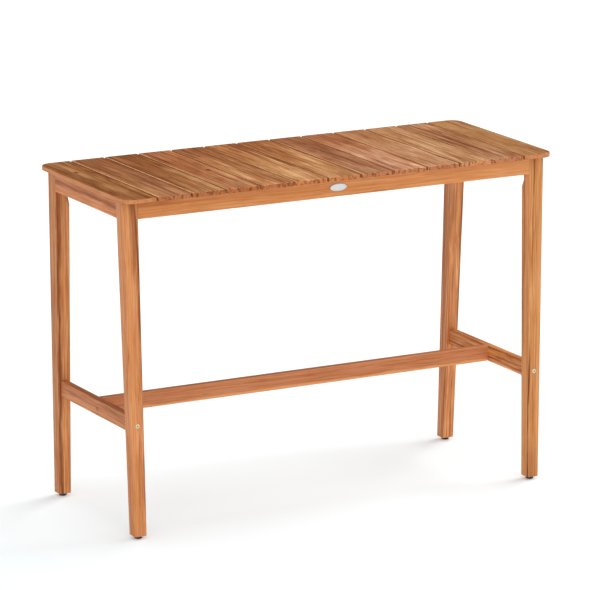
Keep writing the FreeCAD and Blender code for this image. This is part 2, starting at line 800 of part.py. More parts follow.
def main():
    os.makedirs("parts", exist_ok=True)
    for number in range(1, slat_count + 1):
        save("slat_%02d" % number, [slat(number)])
    for side_x, side in ((-1, "left"), (1, "right")):
        save(side + "_end_board", [end_board(side_x)])
        save(side + "_end_apron", [end_apron(side_x)])
        save(side + "_side_stretcher", [side_stretcher(side_x)])
    for side_y, side in ((-1, "front"), (1, "back")):
        save(side + "_apron", [side_apron(side_y)])
        save(side + "_batten", [side_batten(side_y)])
    save("centre_batten", [centre_batten()])
    save("long_stretcher", [long_stretcher()])

    one_leg, one_brace, one_pad, one_stud = leg(), corner_brace(), foot_pad(), foot_stud()
    for side_x in (-1, 1):
        for side_y in (-1, 1):
            corner = corner_name(side_x, side_y)
            save(corner + "_leg", [mirrored(one_leg, side_x, side_y)])
            save(corner + "_corner_brace", [mirrored(one_brace, side_x, side_y)])
            save(corner + "_foot_pad", [mirrored(one_pad, side_x, side_y)])
            save(corner + "_foot_stud", [mirrored(one_stud, side_x, side_y)])

    save("board_screws", board_screws())
    save("batten_screws", batten_screws())
    save("brace_screws", brace_screws())
    save("leg_bolts", all_corners([leg_bolt(level) for level in brace_bolt_levels]))
    save("leg_bolt_washers", all_corners([leg_bolt_washer(level) for level in brace_bolt_levels]))
    save("leg_bolt_inserts", all_corners([leg_insert(level) for level in brace_bolt_levels]))
    save("stretcher_bolts", all_corners([joint_bolt()]))
    save("stretcher_barrel_nuts", all_corners([barrel_nut()]))
    side_dowels = [dowel(start, at(0, -1, 0), dowel_length) for start in side_dowel_starts()]
    save("side_stretcher_dowels", all_corners(side_dowels))
    long_dowels = []
    batten_dowels = []
    for side_x in (-1, 1):
        inward = at(-side_x, 0, 0)
        long_dowels += [dowel(start, inward, dowel_length) for start in long_dowel_starts(side_x)]
        batten_dowels += [dowel(start, inward, dowel_length) for start in batten_dowel_starts(side_x)]
    save("long_stretcher_dowels", long_dowels)
    save("centre_batten_dowels", batten_dowels)
    save("foot_inserts", all_corners([foot_insert()]))
    save("oval_plate", [oval_plate()])


main()
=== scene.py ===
import math

import bpy
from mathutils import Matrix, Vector


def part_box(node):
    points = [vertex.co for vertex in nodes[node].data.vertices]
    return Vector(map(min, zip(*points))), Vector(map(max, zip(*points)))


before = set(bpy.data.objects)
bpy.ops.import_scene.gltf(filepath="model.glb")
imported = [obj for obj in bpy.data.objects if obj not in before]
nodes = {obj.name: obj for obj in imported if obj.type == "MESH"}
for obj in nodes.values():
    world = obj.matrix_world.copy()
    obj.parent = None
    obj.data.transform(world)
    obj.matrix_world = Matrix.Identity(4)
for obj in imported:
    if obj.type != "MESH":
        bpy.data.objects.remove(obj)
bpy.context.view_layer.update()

# The camera stands where the photograph was taken from: metres and degrees, and millimetres for the lens
CAMERA_TARGET = Vector((-0.0085, 0.0, 0.538))
CAMERA_DISTANCE = 11.647
CAMERA_TURN = 28.376
CAMERA_PITCH = 13.566
CAMERA_REACH = 200.0
SENSOR_WIDTH = 36.0
LENS = 263.52

# Light: at a level of 1 a colour shows as it is written. The sky goes from low to high between the hazes
WORLD_COLOUR = (1.0, 1.0, 1.0)
WORLD_LOW, WORLD_HIGH = 0.05, 0.62
HAZE_START, HAZE_END = 0.22, 0.62

# Lamps: name, where the light comes from, level, and softness in degrees
LAMPS = (
    ("key", (0.95, 0.24, 0.72), 0.57, 43.0),
    ("overhead", (0.10, -0.12, 1.0), 0.15, 28.0),
    ("back", (-0.06, 0.55, 1.0), 0.02, 12.0),
    ("front", (-0.10, -0.90, 1.0), 0.035, 14.0),
    ("front_fill", (-0.45, -1.0, 0.42), 0.30, 60.0),
    ("left_fill", (-1.0, -0.15, 0.45), 0.16, 80.0),
)

# Floor: the colour that it shows and the colour that it throws on the table
FLOOR_HALF_SIZE = 60.0
FLOOR_SEEN_COLOUR = (0.766, 0.811, 0.824)
FLOOR_BOUNCE_COLOUR = (0.92, 0.92, 0.92)
FLOOR_LIFT = 0.20

# Directions along the table, and the sides that carry marks
X, Y, Z = Vector((1, 0, 0)), Vector((0, 1, 0)), Vector((0, 0, 1))
FRONT, LEFT, TOP = -Y, -X, Z
TOP_FRONT = (TOP + FRONT).normalized()

# Corners of the table, as the names of its pieces have them
CORNERS = ("front_left", "front_right", "back_left", "back_right")


class Graph:
    """Short calls that build a node tree."""

    def __init__(self, tree):
        self.tree = tree

    def feed(self, socket, value):
        if isinstance(value, bpy.types.NodeSocket):
            self.tree.links.new(value, socket)
        else:
            socket.default_value = value

    def node(self, kind, inputs=None, **settings):
        made = self.tree.nodes.new(kind)
        for name, value in settings.items():
            setattr(made, name, value)
        for key, value in (inputs or {}).items():
            self.feed(made.inputs[key], value)
        return made

    def math(self, operation, first, second=0.0):
        return self.node("ShaderNodeMath", {0: first, 1: second}, operation=operation).outputs[0]

    def plus(self, first, second):
        return self.math("ADD", first, second)

    def minus(self, first, second):
        return self.math("SUBTRACT", first, second)

    def times(self, first, second):
        return self.math("MULTIPLY", first, second)

    def absolute(self, value):
        return self.math("ABSOLUTE", value)

    def vector(self, operation, first, second=(0.0, 0.0, 0.0)):
        made = self.node("ShaderNodeVectorMath", {0: first, 1: second}, operation=operation)
        return made.outputs["Value" if operation in ("DOT_PRODUCT", "LENGTH") else "Vector"]

    def join(self, x, y, z):
        return self.node("ShaderNodeCombineXYZ", {0: x, 1: y, 2: z}).outputs[0]

    def split(self, vector):
        return self.node("ShaderNodeSeparateXYZ", {0: vector}).outputs

    def noise(self, vector, scales, detail=2.0, roughness=0.5):
        """A noise from 0 to 1, mostly near a half, with its own scale along each direction."""
        scaled = self.vector("MULTIPLY", vector, scales)
        inputs = {"Vector": scaled, "Scale": 1.0, "Detail": detail, "Roughness": roughness}
        return self.node("ShaderNodeTexNoise", inputs).outputs["Fac"]

    def swing(self, noise, reach):
        """The noise as a swing to both sides of zero."""
        return self.times(self.minus(noise, 0.5), reach)

    def ramp(self, value, near, far, start=0.0, end=1.0):
        """A smooth step from start at near to end at far, whichever of near and far is larger."""
        inputs = {"Value": value, "From Min": near, "From Max": far, "To Min": start, "To Max": end}
        made = self.node("ShaderNodeMapRange", inputs, interpolation_type="SMOOTHSTEP")
        return made.outputs["Result"]

    def mix(self, factor, first, second, blend="MIX"):
        """A mix of two colours, which are sockets 6 and 7 of the node and come out of its socket 2."""
        inputs = {0: factor, 6: first, 7: second}
        return self.node("ShaderNodeMix", inputs, data_type="RGBA", blend_type=blend).outputs[2]

    def toned(self, base, factor, powers=(1.0, 1.0, 1.0)):
        """The colour made lighter or darker, with a power of the factor for each channel."""
        tones = [self.math("POWER", factor, power) for power in powers]
        scale = self.node("ShaderNodeCombineColor", {0: tones[0], 1: tones[1], 2: tones[2]}).outputs[0]
        return self.mix(1.0, base, scale, "MULTIPLY")

    def bump(self, height, strength, depth):
        inputs = {"Height": height, "Strength": strength, "Distance": depth}
        return self.node("ShaderNodeBump", inputs).outputs[0]

    def surface(self, inputs):
        shader = self.node("ShaderNodeBsdfPrincipled", inputs)
        self.node("ShaderNodeOutputMaterial", {"Surface": shader.outputs[0]})


def colour(red, green, blue):
    return (red, green, blue, 1.0)


def new_material(name):
    """An empty material and the graph that fills it."""
    material = bpy.data.materials.new(name)
    material.use_nodes = True
    material.node_tree.nodes.clear()
    return material, Graph(material.node_tree)


def give(node, material):
    """One material for a whole CAD node."""
    mesh = nodes[node].data
    mesh.materials.clear()
    mesh.materials.append(material)


def middle_of(node):
    low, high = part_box(node)
    return (Vector(low) + Vector(high)) / 2


# Noises of the grain: features per metre across it, deep and along it, then detail and roughness
BAND = ((30.0, 30.0, 1.8), 3.0, 0.6)
STREAK = ((125.0, 125.0, 2.2), 3.0, 0.62)
FINE = ((330.0, 330.0, 4.0), 2.0, 0.6)
FIBRE = ((1700.0, 1700.0, 30.0), 1.0, 0.5)
PORE = ((460.0, 460.0, 18.0), 1.0, 0.5)
CLOUD = ((16.0, 16.0, 6.0), 3.0, 0.55)
WANDER = ((5.0, 5.0, 2.4), 2.0, 0.5)
TICK = ((115.0, 60.0, 30.0), 4.0, 0.72)

# Ramps over them: near, far, and what they give there when that isn't 0 and 1
PALE_BAND = (0.50, 0.68)
DARK_BAND = (0.47, 0.30)
DARK_STREAK = (0.50, 0.61)
PALE_STREAK = (0.48, 0.38)
PORE_EDGE = (0.60, 0.72)
LATE_WOOD_RISE = (0.30, 0.86)
LATE_WOOD_FALL = (1.0, 0.90)
FINE_TONE = (0.30, 0.70, 0.30, -0.28)
FIBRE_TONE = (0.30, 0.70, 0.04, -0.04)
CLOUD_TONE = (0.30, 0.70, 0.12, -0.12)
FINE_ROUGHNESS = (0.30, 0.70, 0.34, 0.44)
TICK_TONE = (0.46, 0.60, 0.0, 0.8)
END_FACING = (0.75, 0.92)

# Places of the grain in metres: the heart of the tree, its rings, how far the grain wanders, and the
# shift of the noises that a seed gives each piece
PITH = (0.03, -0.05, 0.0)
RING_PITCH = 0.006
WANDER_REACH = 0.020
SECOND_WANDER_SHIFT = (31.0, 17.0, 5.0)
SEED_SHIFT = (1.37, 2.11, 7.53)
TICK_SEED_SHIFT = 0.37

# Strengths of the grain
RING_WOBBLE = 0.9
PALE_STREAK_SHARE = 0.7
PORE_TONE, PORE_ROUGHNESS = 0.28, 0.15
FIBRE_HEIGHT, PORE_HEIGHT, RING_HEIGHT = 0.5, 0.6, 0.25
END_COVER, END_ROUGHNESS = 0.85, 0.2
WOOD_SHEEN = 0.08
WOOD_BUMP, WOOD_BUMP_DEPTH = 0.35, 0.0004

# Colours of the wood: tints multiply a body colour, and the tone says how each channel darkens
PALE_TINT = colour(1.34, 1.48, 1.75)
DARK_TINT = colour(0.48, 0.31, 0.20)
END_TINT = (1.22, 1.05, 1.35)
WOOD_TONE = (1.0, 1.7, 2.6)
# The dark mark colour serves the streaks, knots and end ticks of the wood and also painted shade; the glow
# colour serves pale streaks and also painted light.
DARK_MARK_AND_SHADE_COLOUR = colour(0.150, 0.027, 0.007)
GLOW_COLOUR = colour(0.82, 0.37, 0.14)
GOLD_COLOUR = colour(0.80, 0.46, 0.20)

# The grain that a piece has unless its own look says otherwise
USUAL_GRAIN = {"spread": 0.6, "streaks": 0.55, "rings": 0.3, "fineness": 1.0, "contrast": 0.6}


def timber_group():
    """The grain that all the wood shares, along the third coordinate of its place."""
    tree = bpy.data.node_groups.new("timber", "ShaderNodeTree")
    sockets = {"place": "NodeSocketVector", "body": "NodeSocketColor"}
    for name in ("seed", "level", *USUAL_GRAIN):
        sockets[name] = "NodeSocketFloat"
    for name, kind in sockets.items():
        tree.interface.new_socket(name, in_out="INPUT", socket_type=kind)
    tree.interface.new_socket("colour", in_out="OUTPUT", socket_type="NodeSocketColor")
    tree.interface.new_socket("roughness", in_out="OUTPUT", socket_type="NodeSocketFloat")
    tree.interface.new_socket("height", in_out="OUTPUT", socket_type="NodeSocketFloat")
    graph = Graph(tree)
    given = graph.node("NodeGroupInput").outputs
    bend, bent = wandering_place(graph, given)
    streak_noise = graph.noise(bent, *STREAK)
    fine = graph.noise(bent, *FINE)
    fibre = graph.noise(bent, *FIBRE)
    pore = graph.ramp(graph.noise(bent, *PORE), *PORE_EDGE)
    ring = growth_rings(graph, given, bend, streak_noise)
    banded = banded_colour(graph, given, bent, streak_noise, ring)

    change = graph.plus(graph.ramp(fine, *FINE_TONE), graph.ramp(fibre, *FIBRE_TONE))
    change = graph.minus(change, graph.times(pore, PORE_TONE))
    change = graph.plus(change, graph.ramp(graph.noise(bent, *CLOUD), *CLOUD_TONE))
    level = graph.plus(graph.times(change, given["contrast"]), 1.0)
    shown = graph.toned(banded, graph.times(level, given["level"]), WOOD_TONE)

    roughness = graph.plus(graph.ramp(fine, *FINE_ROUGHNESS), graph.times(pore, PORE_ROUGHNESS))
    height = graph.minus(graph.times(fibre, FIBRE_HEIGHT), graph.times(pore, PORE_HEIGHT))
    height = graph.minus(height, graph.times(ring, RING_HEIGHT))
    graph.node("NodeGroupOutput", {"colour": shown, "roughness": roughness, "height": height})
    return tree


def wandering_place(graph, given):
    """How far the grain sways aside, and the place of the noises with the seed and that sway."""
    fineness = given["fineness"]
    fitted = graph.vector("MULTIPLY", given["place"], graph.join(fineness, fineness, fineness))
    shift = graph.join(*[graph.times(given["seed"], step) for step in SEED_SHIFT])
    seeded = graph.vector("ADD", fitted, shift)
    across = graph.noise(seeded, *WANDER)
    deep = graph.noise(graph.vector("ADD", seeded, SECOND_WANDER_SHIFT), *WANDER)
    bend = graph.join(graph.swing(across, WANDER_REACH), graph.swing(deep, WANDER_REACH), 0.0)
    return bend, graph.vector("ADD", seeded, bend)


def growth_rings(graph, given, bend, streak_noise):
    """The dark late wood of each ring round the pith."""
    from_pith = graph.vector("SUBTRACT", graph.vector("ADD", given["place"], bend), PITH)
    flat = graph.vector("MULTIPLY", from_pith, (1.0, 1.0, 0.0))
    turns = graph.math("DIVIDE", graph.vector("LENGTH", flat), RING_PITCH)
    phase = graph.math("FRACT", graph.plus(turns, graph.swing(streak_noise, RING_WOBBLE)))
    late_wood = graph.times(graph.ramp(phase, *LATE_WOOD_RISE), graph.ramp(phase, *LATE_WOOD_FALL))
    return graph.times(late_wood, given["rings"])


def banded_colour(graph, given, bent, streak_noise, ring):
    """The body colour with pale and dark bands, streaks and rings."""
    body, spread, streaks = given["body"], given["spread"], given["streaks"]
    pale = graph.mix(1.0, body, PALE_TINT, "MULTIPLY")
    dark = graph.mix(1.0, body, DARK_TINT, "MULTIPLY")
    band = graph.noise(bent, *BAND)
    shown = graph.mix(graph.times(graph.ramp(band, *PALE_BAND), spread), body, pale)
    shown = graph.mix(graph.times(graph.ramp(band, *DARK_BAND), spread), shown, dark)
    shown = graph.mix(graph.times(graph.ramp(streak_noise, *DARK_STREAK), streaks), shown, dark)
    glint = graph.times(graph.ramp(streak_noise, *PALE_STREAK), streaks)
    shown = graph.mix(graph.times(glint, PALE_STREAK_SHARE), shown, pale)
    return graph.mix(ring, shown, dark)


timber = timber_group()


class Wood:
    """Oiled hardwood. Its place is measured from an origin: across the grain, deep and along the grain."""

    def __init__(self, name, origin, across, deep, along):
        self.material, self.graph = new_material(name)
        given = self.graph.node("ShaderNodeTexCoord").outputs
        moved = self.graph.vector("SUBTRACT", given["Object"], origin)
        parts = [self.graph.vector("DOT_PRODUCT", moved, axis) for axis in (across, deep, along)]
        self.place = self.graph.join(*parts)
        self.normal = given["Normal"]
        self.along = along

    def facing(self, direction, near, far):
        """How squarely the surface faces a direction, from 0 at near to 1 at far."""
        return self.graph.ramp(self.graph.vector("DOT_PRODUCT", self.normal, direction), near, far)

    def strongest(self, masks):
        """The largest of several masks, or zero where there are none."""
        values = [mask(self) for mask in masks]
        found = values[0] if values else 0.0
        for value in values[1:]:
            found = self.graph.math("MAXIMUM", found, value)
        return found

    def finish(self, body, seed, marks=(), glows=(), glow_colour=GLOW_COLOUR, lift=0.0, half_length=0.25,
               end_body=None, layers=(), **grain):
        """The finished material.

        Lift lightens the start of the grain and darkens its end, over the half length each way; on the top
        boards the lighter fronts are partly the wood's own tone and partly a painted pool of light and
        reflection. The end body is the colour of the cut ends. Glows lay the glow colour over the grain and
        the dark streaks, knots and shades lay the dark mark colour; most are the wood's own, some are
        painted light and some painted shade. Layers are (mask, colour) pairs laid over the grain in turn; on
        the top boards they hold the outer edge colour of the end boards, the painted shade in the gaps and
        the painted highlight on the left arris. The rest replaces values of the usual grain.
        """
        graph = self.graph
        level = 1.0
        if lift:
            along = graph.split(self.place)[2]
            level = graph.ramp(along, -half_length, half_length, 1.0 + lift, 1.0 - lift)
        wood = graph.node("ShaderNodeGroup", node_tree=timber)
        values = {"place": self.place, "body": colour(*body), "seed": seed, "level": level}
        for key, value in {**values, **USUAL_GRAIN, **grain}.items():
            graph.feed(wood.inputs[key], value)
        shown = graph.mix(self.strongest(glows), wood.outputs["colour"], glow_colour)
        shown = graph.mix(self.strongest(marks), shown, DARK_MARK_AND_SHADE_COLOUR)
        lean = graph.vector("DOT_PRODUCT", self.normal, self.along)
        end_grain = graph.ramp(graph.absolute(lean), *END_FACING)
        cut = self.cut_end(end_body or [part * tint for part, tint in zip(body, END_TINT)], seed)
        shown = graph.mix(graph.times(end_grain, END_COVER), shown, cut)
        for mask, tone in layers:
            shown = graph.mix(mask, shown, tone)
        roughness = graph.plus(wood.outputs["roughness"], graph.times(end_grain, END_ROUGHNESS))
        bumped = graph.bump(wood.outputs["height"], WOOD_BUMP, WOOD_BUMP_DEPTH)
        graph.surface({"Base Color": shown, "Roughness": roughness, "Normal": bumped,
                       "Specular IOR Level": WOOD_SHEEN})
        return self.material

    def cut_end(self, body, seed):
        """The colour of the end grain, with dark ticks."""
        graph = self.graph
        shifted = graph.vector("ADD", self.place, (TICK_SEED_SHIFT * seed, 0.0, 0.0))
        return graph.mix(graph.ramp(graph.noise(shifted, *TICK), *TICK_TONE), colour(*body), DARK_MARK_AND_SHADE_COLOUR)


# Streaks, knots, shaded faces and lit arrises, in metres. Each function below makes one that gives the mask
# on a piece of wood. Streaks and knots are mostly the wood's own; some streaks are painted light and some
# painted shade, as noted at the pieces. A shaded face is painted shade, and a lit arris a painted highlight.
MARK_FACING = (0.05, 0.35)
MARK_SWAY, MARK_FADE = 0.012, 0.05
MARK_WAVE = ((14.0, 14.0, 7.0), 2.0)
MARK_EDGE = ((200.0, 200.0, 16.0), 2.0)
KNOT_EDGE = ((260.0, 260.0, 120.0), 2.0)
KNOT_FADE = (1.15, 0.25)
KNOT_LENGTH = 1.7
WHOLE_FACING = (0.55, 0.80)
ARRIS_FACING = (0.84, 0.96)


def streak(face, *, at, half_width, run, strength, slope=0.0):
    """A line along the grain from run[0] to run[1]: at a length z it lies at + slope * z across the face."""
    def mask(wood):
        graph = wood.graph
        across, deep, along = graph.split(wood.place)
        aside = deep if face is LEFT and wood.along is Z else across
        line = graph.plus(graph.times(along, slope), at)
        line = graph.plus(line, graph.swing(graph.noise(wood.place, *MARK_WAVE), MARK_SWAY))
        away = graph.absolute(graph.minus(aside, line))
        away = graph.plus(away, graph.swing(graph.noise(wood.place, *MARK_EDGE), half_width))
        core = graph.ramp(away, half_width, 0.0, 0.0, strength)
        seen = wood.facing(face, *MARK_FACING)
        begun = graph.ramp(along, run[0] - MARK_FADE, run[0] + MARK_FADE)
        over = graph.ramp(along, run[1] + MARK_FADE, run[1] - MARK_FADE)
        return graph.times(graph.times(core, seen), graph.times(begun, over))
    return mask


def knot(face, *, across, along, radius, strength):
    """A small knot: a dark eye drawn out along the grain."""
    def mask(wood):
        graph = wood.graph
        parts = graph.split(wood.place)
        aside = graph.math("DIVIDE", graph.minus(parts[0], across), radius)
        onward = graph.math("DIVIDE", graph.minus(parts[2], along), KNOT_LENGTH * radius)
        away = graph.vector("LENGTH", graph.join(aside, onward, 0.0))
        away = graph.plus(away, graph.swing(graph.noise(wood.place, *KNOT_EDGE), 1.0))
        return graph.times(graph.ramp(away, *KNOT_FADE, 0.0, strength), wood.facing(face, *WHOLE_FACING))
    return mask


def shaded_face(face, strength):
    """Painted shade over a whole face, of one tone."""
    return lambda wood: wood.graph.times(wood.facing(face, *WHOLE_FACING), strength)


def arris(direction, strength):
    """A painted highlight on the rounded edge that faces between two sides."""
    return lambda wood: wood.graph.times(wood.facing(direction, *ARRIS_FACING), strength)


# Boards of the top, with painted shade in the gaps between them and a painted highlight on their left
# arrises
BOARD_FINENESS = 1.15
EDGE_COLOUR, EDGE_SHADE = (0.64, 0.256, 0.102), 0.74
EDGE_FACING = (0.75, 0.45)
EDGE_RIPPLE = ((90.0, 90.0, 9.0), 3.0, 0.6)
EDGE_RIPPLE_STEP = (0.35, 0.65)
GAP_SHADE_COLOUR = colour(0.340, 0.100, 0.030)
GAP_FACING = (0.66, 0.90)
ARRIS_HIGHLIGHT_COLOUR = colour(0.98, 0.62, 0.28)
ARRIS_ASIDE, ARRIS_UP = (-0.10, -0.35), (0.42, 0.62)
ARRIS_PATCHES = ((30.0, 30.0, 60.0), 2.0)
ARRIS_PATCH_STEP = (0.30, 0.70, 0.6, 1.0)


def outer_edge(wood, sideways):
    """The smooth edge round the outside of an end board."""
    graph = wood.graph
    upright = graph.ramp(graph.absolute(sideways[2]), *EDGE_FACING)
    ripple = graph.ramp(graph.noise(wood.place, *EDGE_RIPPLE), *EDGE_RIPPLE_STEP)
    shaded = [part * EDGE_SHADE for part in EDGE_COLOUR]
    return upright, graph.mix(ripple, colour(*EDGE_COLOUR), colour(*shaded))


def gap_side_shade(wood, sideways, side, strength):
    """Painted shade on the side of a board inside a gap, on its left for -1 and on its right for 1."""
    inside = wood.graph.ramp(wood.graph.times(sideways[0], side), *GAP_FACING)
    return wood.graph.times(inside, strength), GAP_SHADE_COLOUR


def left_arris_highlight(wood, sideways, strength):
    """A painted highlight on the rounded edge along the left of a board."""
    graph = wood.graph
    turned = graph.times(graph.ramp(sideways[0], *ARRIS_ASIDE), graph.ramp(sideways[2], *ARRIS_UP))
    patches = graph.ramp(graph.noise(wood.place, *ARRIS_PATCHES), *ARRIS_PATCH_STEP)
    return graph.times(turned, graph.times(patches, strength)), ARRIS_HIGHLIGHT_COLOUR


def board_wood(node, arris_highlight_strength=0.25, gap_shade=0.8, contrast=1.15, **look):
    """A top board: its grain runs across the table. Its sides in the gaps get painted shade, and its left
    arris a painted highlight.
    """
    middle = middle_of(node)
    wood = Wood(node, Vector((middle.x, 0, middle.z)), X, Z, Y)
    sideways = wood.graph.split(wood.normal)
    outside = math.copysign(1.0, middle.x) if node.endswith("end_board") else 0.0
    layers = [outer_edge(wood, sideways)] if outside else []
    layers += [gap_side_shade(wood, sideways, side, gap_shade) for side in (-1.0, 1.0) if side != outside]
    if outside != -1.0:
        layers.append(left_arris_highlight(wood, sideways, arris_highlight_strength))
    give(node, wood.finish(layers=layers, fineness=BOARD_FINENESS, contrast=contrast,
                           glow_colour=GOLD_COLOUR, **look))


# Lift makes the front of each top board lighter: partly the wood's own tone, partly a painted pool of light
# and reflection.
board_wood("left_end_board", body=(0.316, 0.119, 0.030), seed=1.0, spread=0.45, streaks=0.65, contrast=1.35,
           lift=0.01,
           glows=[streak(TOP, at=-0.003, half_width=0.024, run=(0.02, 0.25), strength=0.22)],
           marks=[knot(TOP, across=-0.004, along=0.112, radius=0.0075, strength=1.0),
                  knot(TOP, across=-0.004, along=0.119, radius=0.0055, strength=1.0),
                  streak(TOP, at=-0.008, half_width=0.005, run=(0.165, 0.22), strength=0.9),
                  streak(TOP, at=0.025, half_width=0.006, run=(-0.25, -0.02), strength=0.35)])
board_wood("slat_01", body=(0.331, 0.125, 0.040), end_body=(0.520, 0.185, 0.072), seed=2.0, streaks=0.45,
           contrast=0.9, lift=0.12, arris_highlight_strength=0.85,
           marks=[streak(TOP, at=0.020, half_width=0.014, run=(-0.16, 0.02), strength=0.55),
                  streak(TOP, at=-0.030, slope=0.02, half_width=0.004, run=(-0.1, 0.25), strength=0.45)])
board_wood("slat_02", body=(0.332, 0.124, 0.035), end_body=(0.470, 0.157, 0.061), seed=3.0, streaks=0.6,
           contrast=0.95, lift=0.16, arris_highlight_strength=0.85,
           glows=[streak(TOP, at=0.032, half_width=0.012, run=(-0.27, 0.05), strength=0.4)],
           marks=[streak(TOP, at=-0.040, half_width=0.006, run=(-0.2, 0.3), strength=0.7)])
board_wood("slat_03", body=(0.393, 0.145, 0.047), end_body=(0.481, 0.153, 0.055), seed=4.0, streaks=0.8,
           lift=0.10, arris_highlight_strength=0.55, gap_shade=0.5,
           glows=[streak(TOP, at=0.034, half_width=0.012, run=(-0.27, 0.0), strength=0.35)],
           marks=[knot(TOP, across=0.019, along=-0.023, radius=0.009, strength=1.0),
                  streak(TOP, at=-0.005, half_width=0.012, run=(-0.27, -0.08), strength=0.35)])
board_wood("slat_04", body=(0.421, 0.170, 0.055), end_body=(0.530, 0.170, 0.062), seed=5.0, streaks=0.8,
           lift=0.14, arris_highlight_strength=0.4, gap_shade=0.35)
board_wood("slat_05", body=(0.474, 0.205, 0.068), end_body=(0.665, 0.240, 0.089), seed=6.0, streaks=0.8,
           lift=0.22, gap_shade=0.5)
board_wood("slat_06", body=(0.448, 0.186, 0.059), end_body=(0.640, 0.240, 0.087), seed=7.0, streaks=0.55,
           lift=0.20)
board_wood("slat_07", body=(0.369, 0.146, 0.057), end_body=(0.580, 0.215, 0.086), seed=8.0, streaks=0.65,
           lift=0.14,
           marks=[streak(TOP, at=0.042, half_width=0.004, run=(-0.26, -0.15), strength=0.8)])
board_wood("slat_08", body=(0.505, 0.219, 0.097), end_body=(0.575, 0.212, 0.087), seed=9.0, streaks=0.4,
           lift=0.24, gap_shade=0.4,
           marks=[streak(TOP, at=-0.036, half_width=0.005, run=(-0.26, -0.12), strength=0.75),
                  streak(TOP, at=-0.010, half_width=0.006, run=(-0.26, -0.18), strength=0.6)])
board_wood("slat_09", body=(0.487, 0.225, 0.096), end_body=(0.512, 0.183, 0.076), seed=10.0, streaks=0.45,
           lift=0.14)
board_wood("slat_10", body=(0.518, 0.255, 0.108), end_body=(0.712, 0.286, 0.122), seed=11.0, spread=0.4,
           streaks=0.5, lift=0.04, gap_shade=0.4)
board_wood("slat_11", body=(0.427, 0.186, 0.072), end_body=(0.583, 0.230, 0.103), seed=12.0, streaks=0.65,
           contrast=1.4, lift=0.085, gap_shade=0.3,
           marks=[streak(TOP, at=-0.012, half_width=0.008, run=(-0.26, 0.26), strength=0.75),
                  streak(TOP, at=0.038, half_width=0.005, run=(-0.26, 0.1), strength=0.55)])
board_wood("right_end_board", body=(0.384, 0.163, 0.051), seed=14.0, spread=0.15, streaks=0.2, rings=0.04,
           lift=-0.03)


# Rails and legs, in metres. The centre line of a leg runs up to the X and Y of its head
LEG_HALF_LENGTH = 0.6
LEG_HEAD_X, LEG_HEAD_Y = 0.611, 0.204
BRACE_BODY, FIRST_BRACE_SEED = (0.54, 0.24, 0.10), 50.0


def rail_wood(node, along, **look):
    """An apron, batten or stretcher: its grain runs along it, and its height is across the grain."""
    deep = Y if along is X else X
    give(node, Wood(node, middle_of(node), Z, deep, along).finish(**look))


def leg_wood(node, **look):
    """A leg: its grain runs up its leaning centre line."""
    foot = middle_of(node.replace("leg", "foot_pad"))
    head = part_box(node)[1][2]
    lean_x = (math.copysign(LEG_HEAD_X, foot.x) - foot.x) / head
    lean_y = (math.copysign(LEG_HEAD_Y, foot.y) - foot.y) / head
    wood = Wood(node, Vector((foot.x, foot.y, 0)), Vector((1, 0, -lean_x)), Vector((0, 1, -lean_y)), Z)
    give(node, wood.finish(half_length=LEG_HALF_LENGTH, **look))


# The first glow, along the top strip of the front apron, is painted light against the shade under the
# overhang of the top.
rail_wood("front_apron", X, body=(0.705, 0.286, 0.099), seed=20.0, spread=0.12, streaks=0.06, rings=0.08,
          contrast=0.4, lift=-0.04, half_length=0.6,
          glows=[streak(FRONT, at=0.024, half_width=0.016, run=(-0.35, 0.66), strength=0.6),
                 streak(FRONT, at=0.0, half_width=0.05, run=(0.50, 0.70), strength=0.5)],
          marks=[streak(FRONT, at=0.024, half_width=0.018, run=(-0.65, -0.48), strength=0.35)])
rail_wood("back_apron", X, body=(0.620, 0.240, 0.085), seed=21.0, spread=0.4, streaks=0.35)
rail_wood("left_end_apron", Y, body=(0.648, 0.248, 0.097), seed=22.0, spread=0.25, streaks=0.15, rings=0.1,
          marks=[streak(LEFT, at=0.005, half_width=0.010, run=(-0.3, 0.3), strength=0.6)])
rail_wood("right_end_apron", Y, body=(0.600, 0.230, 0.085), seed=23.0)
rail_wood("front_batten", X, body=(0.540, 0.240, 0.100), seed=24.0)
rail_wood("back_batten", X, body=(0.500, 0.210, 0.085), seed=25.0)
rail_wood("centre_batten", X, body=(0.560, 0.250, 0.110), seed=26.0)
# On the left side stretcher the top is painted shade.
rail_wood("left_side_stretcher", Y, body=(0.560, 0.215, 0.088), seed=27.0, spread=0.2, streaks=0.2,
          rings=0.15,
          glows=[streak(LEFT, at=-0.014, half_width=0.011, run=(-0.3, 0.3), strength=0.25)],
          marks=[shaded_face(TOP, 0.35),
                 streak(LEFT, at=0.0095, half_width=0.006, run=(-0.16, -0.05), strength=0.55),
                 streak(LEFT, at=0.004, half_width=0.003, run=(0.05, 0.3), strength=0.3),
                 knot(LEFT, across=-0.002, along=-0.02, radius=0.006, strength=0.5)])
rail_wood("right_side_stretcher", Y, body=(0.600, 0.228, 0.068), seed=28.0, spread=0.5, streaks=0.7,
          fineness=1.5, contrast=0.8,
          marks=[streak(LEFT, at=0.011, half_width=0.003, run=(-0.3, 0.02), strength=0.3),
                 streak(LEFT, at=-0.010, half_width=0.006, run=(-0.3, 0.02), strength=0.5)])
# On the long stretcher the top is painted shade, and both glows are painted highlights: one along the lower
# edge of the front, one on the upper front arris.
rail_wood("long_stretcher", X, body=(0.555, 0.208, 0.088), seed=29.0, spread=0.15, streaks=0.1, rings=0.05,
          contrast=0.4,
          glows=[streak(FRONT, at=-0.0185, half_width=0.007, run=(-0.7, 0.7), strength=0.85),
                 arris(TOP_FRONT, 0.75)],
          marks=[shaded_face(TOP, 0.3)])
